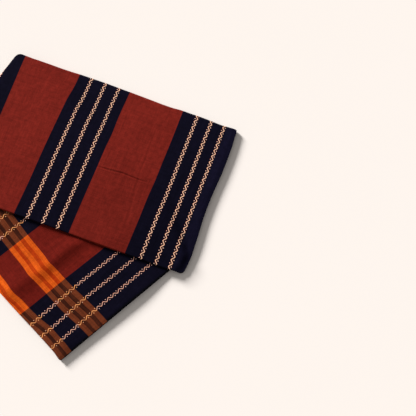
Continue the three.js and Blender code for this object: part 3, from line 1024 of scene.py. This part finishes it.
def zigzag_line(place, s0, t0, t1, phase, seed, motif, lift=None):
    """One line with its dots: place(s, t, h) gives points of the cloth."""
    period, swing, half = motif["period"], motif["swing"], motif["half"]
    lift = motif["lift"] if lift is None else lift
    steps = int(round((t1 - t0) / period * 14))
    t = np.linspace(t0, t1, steps + 1)
    w = 2 * math.pi * t / period + phase
    wob = 0.12 * np.sin(t / 9.7 + seed) + 0.1 * np.sin(t / 31.0 + 2 * seed)
    x = s0 + swing * zigzag(w) + wob
    dx = np.gradient(x, t)
    norm = np.hypot(dx, 1.0)
    nx, nt = 1.0 / norm, -dx / norm
    offs = np.array([-1.0, -0.64, 0.0, 0.64, 1.0]) * half
    hs = np.array([0.02, 0.8, 1.0, 0.8, 0.02]) * lift
    width = 1 + 0.07 * np.sin(t / 3.1 + seed * 3)
    S = x[:, None] + nx[:, None] * offs * width[:, None]
    T = t[:, None] + nt[:, None] * offs * width[:, None]
    H = np.broadcast_to(hs, S.shape)
    pts = [place(S, T, H).reshape(-1, 3)]
    uv = [np.stack([(S - s0) * 0.001 + 0.01 * seed, T * 0.001], -1).reshape(-1, 2)]
    faces = [grid_faces(len(t), 5)]
    line_faces = len(faces[0])
    # slot 2, the outer strips of each line, takes the painted rim shade
    outline = np.tile([2, 0, 0, 2], len(t) - 1)
    tris = []
    start = len(t) * 5
    # dots, opposite each bend
    first = math.ceil(((2 * math.pi * t0 / period + phase) / math.pi) - 0.5)
    k = first
    sides = 10
    ang = np.arange(sides) * 2 * math.pi / sides
    while True:
        wk = (k + 0.5) * math.pi
        tk = (wk - phase) * period / (2 * math.pi)
        if tk > t1 - 0.6:
            break
        side = -1 if k % 2 == 0 else 1
        cx = s0 + side * motif["dot_at"] + 0.12 * math.sin(k * 2.3 + seed)
        r = motif["dot"] + 0.07 * math.sin(k * 1.9 + seed)
        ring = []
        for rr, hh in ((1.0, 0.02), (0.66, 0.85)):
            ring.append((cx + r * rr * np.cos(ang), tk + r * rr * np.sin(ang) * 1.05, np.full(sides, hh * lift)))
        S = np.concatenate([ring[0][0], ring[1][0], [cx]])
        T = np.concatenate([ring[0][1], ring[1][1], [tk]])
        H = np.concatenate([ring[0][2], ring[1][2], [lift]])
        pts.append(place(S, T, H))
        uv.append(np.stack([(S - s0) * 0.001 + 0.01 * seed + 0.005, T * 0.001], -1))
        i = np.arange(sides)
        j = (i + 1) % sides
        faces.append(np.stack([start + i, start + j, start + sides + j, start + sides + i], -1))
        tris.append(np.stack([start + sides + i, start + sides + j, np.full(sides, start + 2 * sides)], -1))
        start += 2 * sides + 1
        k += 1
    faces, tris = np.concatenate(faces), np.concatenate(tris)
    part = np.concatenate([outline, np.full(len(faces) - line_faces, 2)])  # a dot's rim takes the brown painted shade too
    return np.concatenate(pts), np.concatenate(uv), faces, tris, part


def motif_object(name, lines, *materials):
    pts, uvs, quads, tris, parts = [], [], [], [], []
    start = 0
    for p, u, f, g, part in lines:
        pts.append(p)
        uvs.append(u)
        quads.append(f + start)
        tris.append(g + start)
        parts.append(part)
        start += len(p)
    P = np.concatenate(pts)
    P[:, 2] = np.maximum(P[:, 2], 0.0)  # under the pack the floats press flat
    Q = np.concatenate(quads)
    G = np.concatenate(tris)
    me = bpy.data.meshes.new(name)
    co = ((P - ORIGIN) * 0.001).astype(np.float32)
    me.vertices.add(len(co))
    me.vertices.foreach_set("co", co.ravel())
    loops = np.concatenate([Q.ravel(), G.ravel()]).astype(np.int32)
    me.loops.add(len(loops))
    me.loops.foreach_set("vertex_index", loops)
    starts = np.concatenate([np.arange(len(Q)) * 4, len(Q) * 4 + np.arange(len(G)) * 3]).astype(np.int32)
    me.polygons.add(len(starts))
    me.polygons.foreach_set("loop_start", starts)
    me.update(calc_edges=True)
    layer = me.uv_layers.new(name="cloth")
    layer.data.foreach_set("uv", np.concatenate(uvs).astype(np.float32)[loops].ravel())
    me.polygons.foreach_set("use_smooth", np.ones(len(starts), bool))
    slots = np.concatenate([*parts, np.ones(len(G), int)]).astype(np.int32)
    me.polygons.foreach_set("material_index", slots)
    for material in materials:
        me.materials.append(material)
    me.validate()
    ob = bpy.data.objects.new(name, me)
    bpy.context.scene.collection.objects.link(ob)
    return ob


PHASES = [-0.87, 4.1, 3.75, 2.22, 2.26, 1.13, 0.9, 2.0, 3.7, 5.6, 1.6, 4.0, 2.8, 0.2, 4.9]
body_lines = []
for k, s0 in enumerate(LINES):
    under = s0 > 700
    t_high = RUN - NOSE + math.pi * NOSE * (0.86 if not under else 0.5)
    body_lines.append(
        zigzag_line(outer_at, s0, -3.4, t_high, PHASES[k], k + 1, BODY_MOTIF, lift=0.05 if under else None)
    )
body_motif = motif_object("body_motif", body_lines, M_CREAM, M_DOT, M_RIM_SHADE)

END_PHASES = [2.14, 3.74, -0.96, 2.44, 1.2, 2.0]
pallu_lines = []
for k, s0 in enumerate([33.8, 65.5, 98.5, 280.0, 314.5, 348.0]):
    pallu_lines.append(zigzag_line(pallu_at, s0, 0.2, 285.0, END_PHASES[k], 20 + k, END_MOTIF))
pallu_motif = motif_object("pallu_motif", pallu_lines, M_END, M_END_DOT, M_END_RIM_SHADE)
for ob in (body_motif, pallu_motif):
    me = ob.data
    f = min(me.polygons, key=lambda f: -f.center.z)
    if f.normal.z < 0:
        me.flip_normals()

# ---------------------------------------------------------------- each piece hangs from the root; the CAD parts it replaces are hidden
EVERY = [outer, pallu, turned, pallu_turn, upper_plies, lower_plies, body_motif, pallu_motif]
for ob in EVERY:
    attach(ob, "root")
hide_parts("body_ply", "fold_ply", "under_ply")
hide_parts("pallu_ply")
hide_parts("upper_layers")
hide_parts("lower_layers")

# ---------------------------------------------------------------- floor, light, camera


def floor_material():
    tr = Tree("floor_paper")
    co = tr.node("ShaderNodeTexCoord")
    n = tr.noise(co.outputs["Object"], 3.0, 2, 0.5)
    tr.link(tr.mix(n, (0.945, 0.872, 0.816, 1), (0.955, 0.881, 0.825, 1)), tr.b.inputs["Base Color"])
    tr.b.inputs["Roughness"].default_value = 0.95
    tr.b.inputs["Specular IOR Level"].default_value = 0.0
    return tr.m


fm = bpy.data.meshes.new("floor")
fm.from_pydata([(-6, -6, -0.0006), (6, -6, -0.0006), (6, 6, -0.0006), (-6, 6, -0.0006)], [], [(0, 1, 2, 3)])
fm.materials.append(floor_material())
floor = bpy.data.objects.new("floor", fm)
bpy.context.scene.collection.objects.link(floor)

scene = bpy.context.scene
scene.view_settings.view_transform = "Standard"
scene.view_settings.look = "None"
world = bpy.data.worlds.new("studio")
scene.world = world
world.use_nodes = True
bg = world.node_tree.nodes.get("Background") or world.node_tree.nodes.new("ShaderNodeBackground")
bg.inputs[0].default_value = (1.0, 0.99, 0.98, 1)
bg.inputs[1].default_value = 0.29


def sun(name, azimuth, elevation, share, angle):
    """share is how bright a white floor shows under this lamp alone."""
    data = bpy.data.lights.new(name, "SUN")
    data.energy = share * math.pi / math.sin(math.radians(elevation))
    data.angle = math.radians(angle)
    ob = bpy.data.objects.new(name, data)
    a, e = math.radians(azimuth), math.radians(elevation)
    d = Vector((math.cos(a) * math.cos(e), math.sin(a) * math.cos(e), math.sin(e)))
    ob.rotation_mode = "QUATERNION"
    ob.rotation_quaternion = d.to_track_quat("Z", "Y")
    scene.collection.objects.link(ob)
    return ob


cloth_only = bpy.data.collections.new("cloth_only")
floor_only = bpy.data.collections.new("floor_only")
for ob in EVERY:
    cloth_only.objects.link(ob)
floor_only.objects.link(floor)
low_sun = sun("key_low", 155.3, 19.2, 0.76, 15.5)
low_sun.light_linking.receiver_collection = floor_only
high_sun = sun("key_high", 155.3, 31.0, 0.76, 20.0)
high_sun.light_linking.receiver_collection = cloth_only

cam_data = bpy.data.cameras.new("camera")
cam_data.sensor_width = 36.0
cam_data.lens = 36.0 * 600.0 / 416.0
cam = bpy.data.objects.new("camera", cam_data)
scene.collection.objects.link(cam)
A, E = math.radians(20.3), math.radians(74.0)
back = Vector((math.sin(A) * math.cos(E), -math.cos(A) * math.cos(E), math.sin(E)))
target = Vector((-ORIGIN[0] * 0.001, -ORIGIN[1] * 0.001, 0.0))
cam.location = target + back * 1.2708
cam.rotation_mode = "QUATERNION"
cam.rotation_quaternion = back.to_track_quat("Z", "Y")
cam_data.clip_start, cam_data.clip_end = 0.01, 50
scene.camera = cam
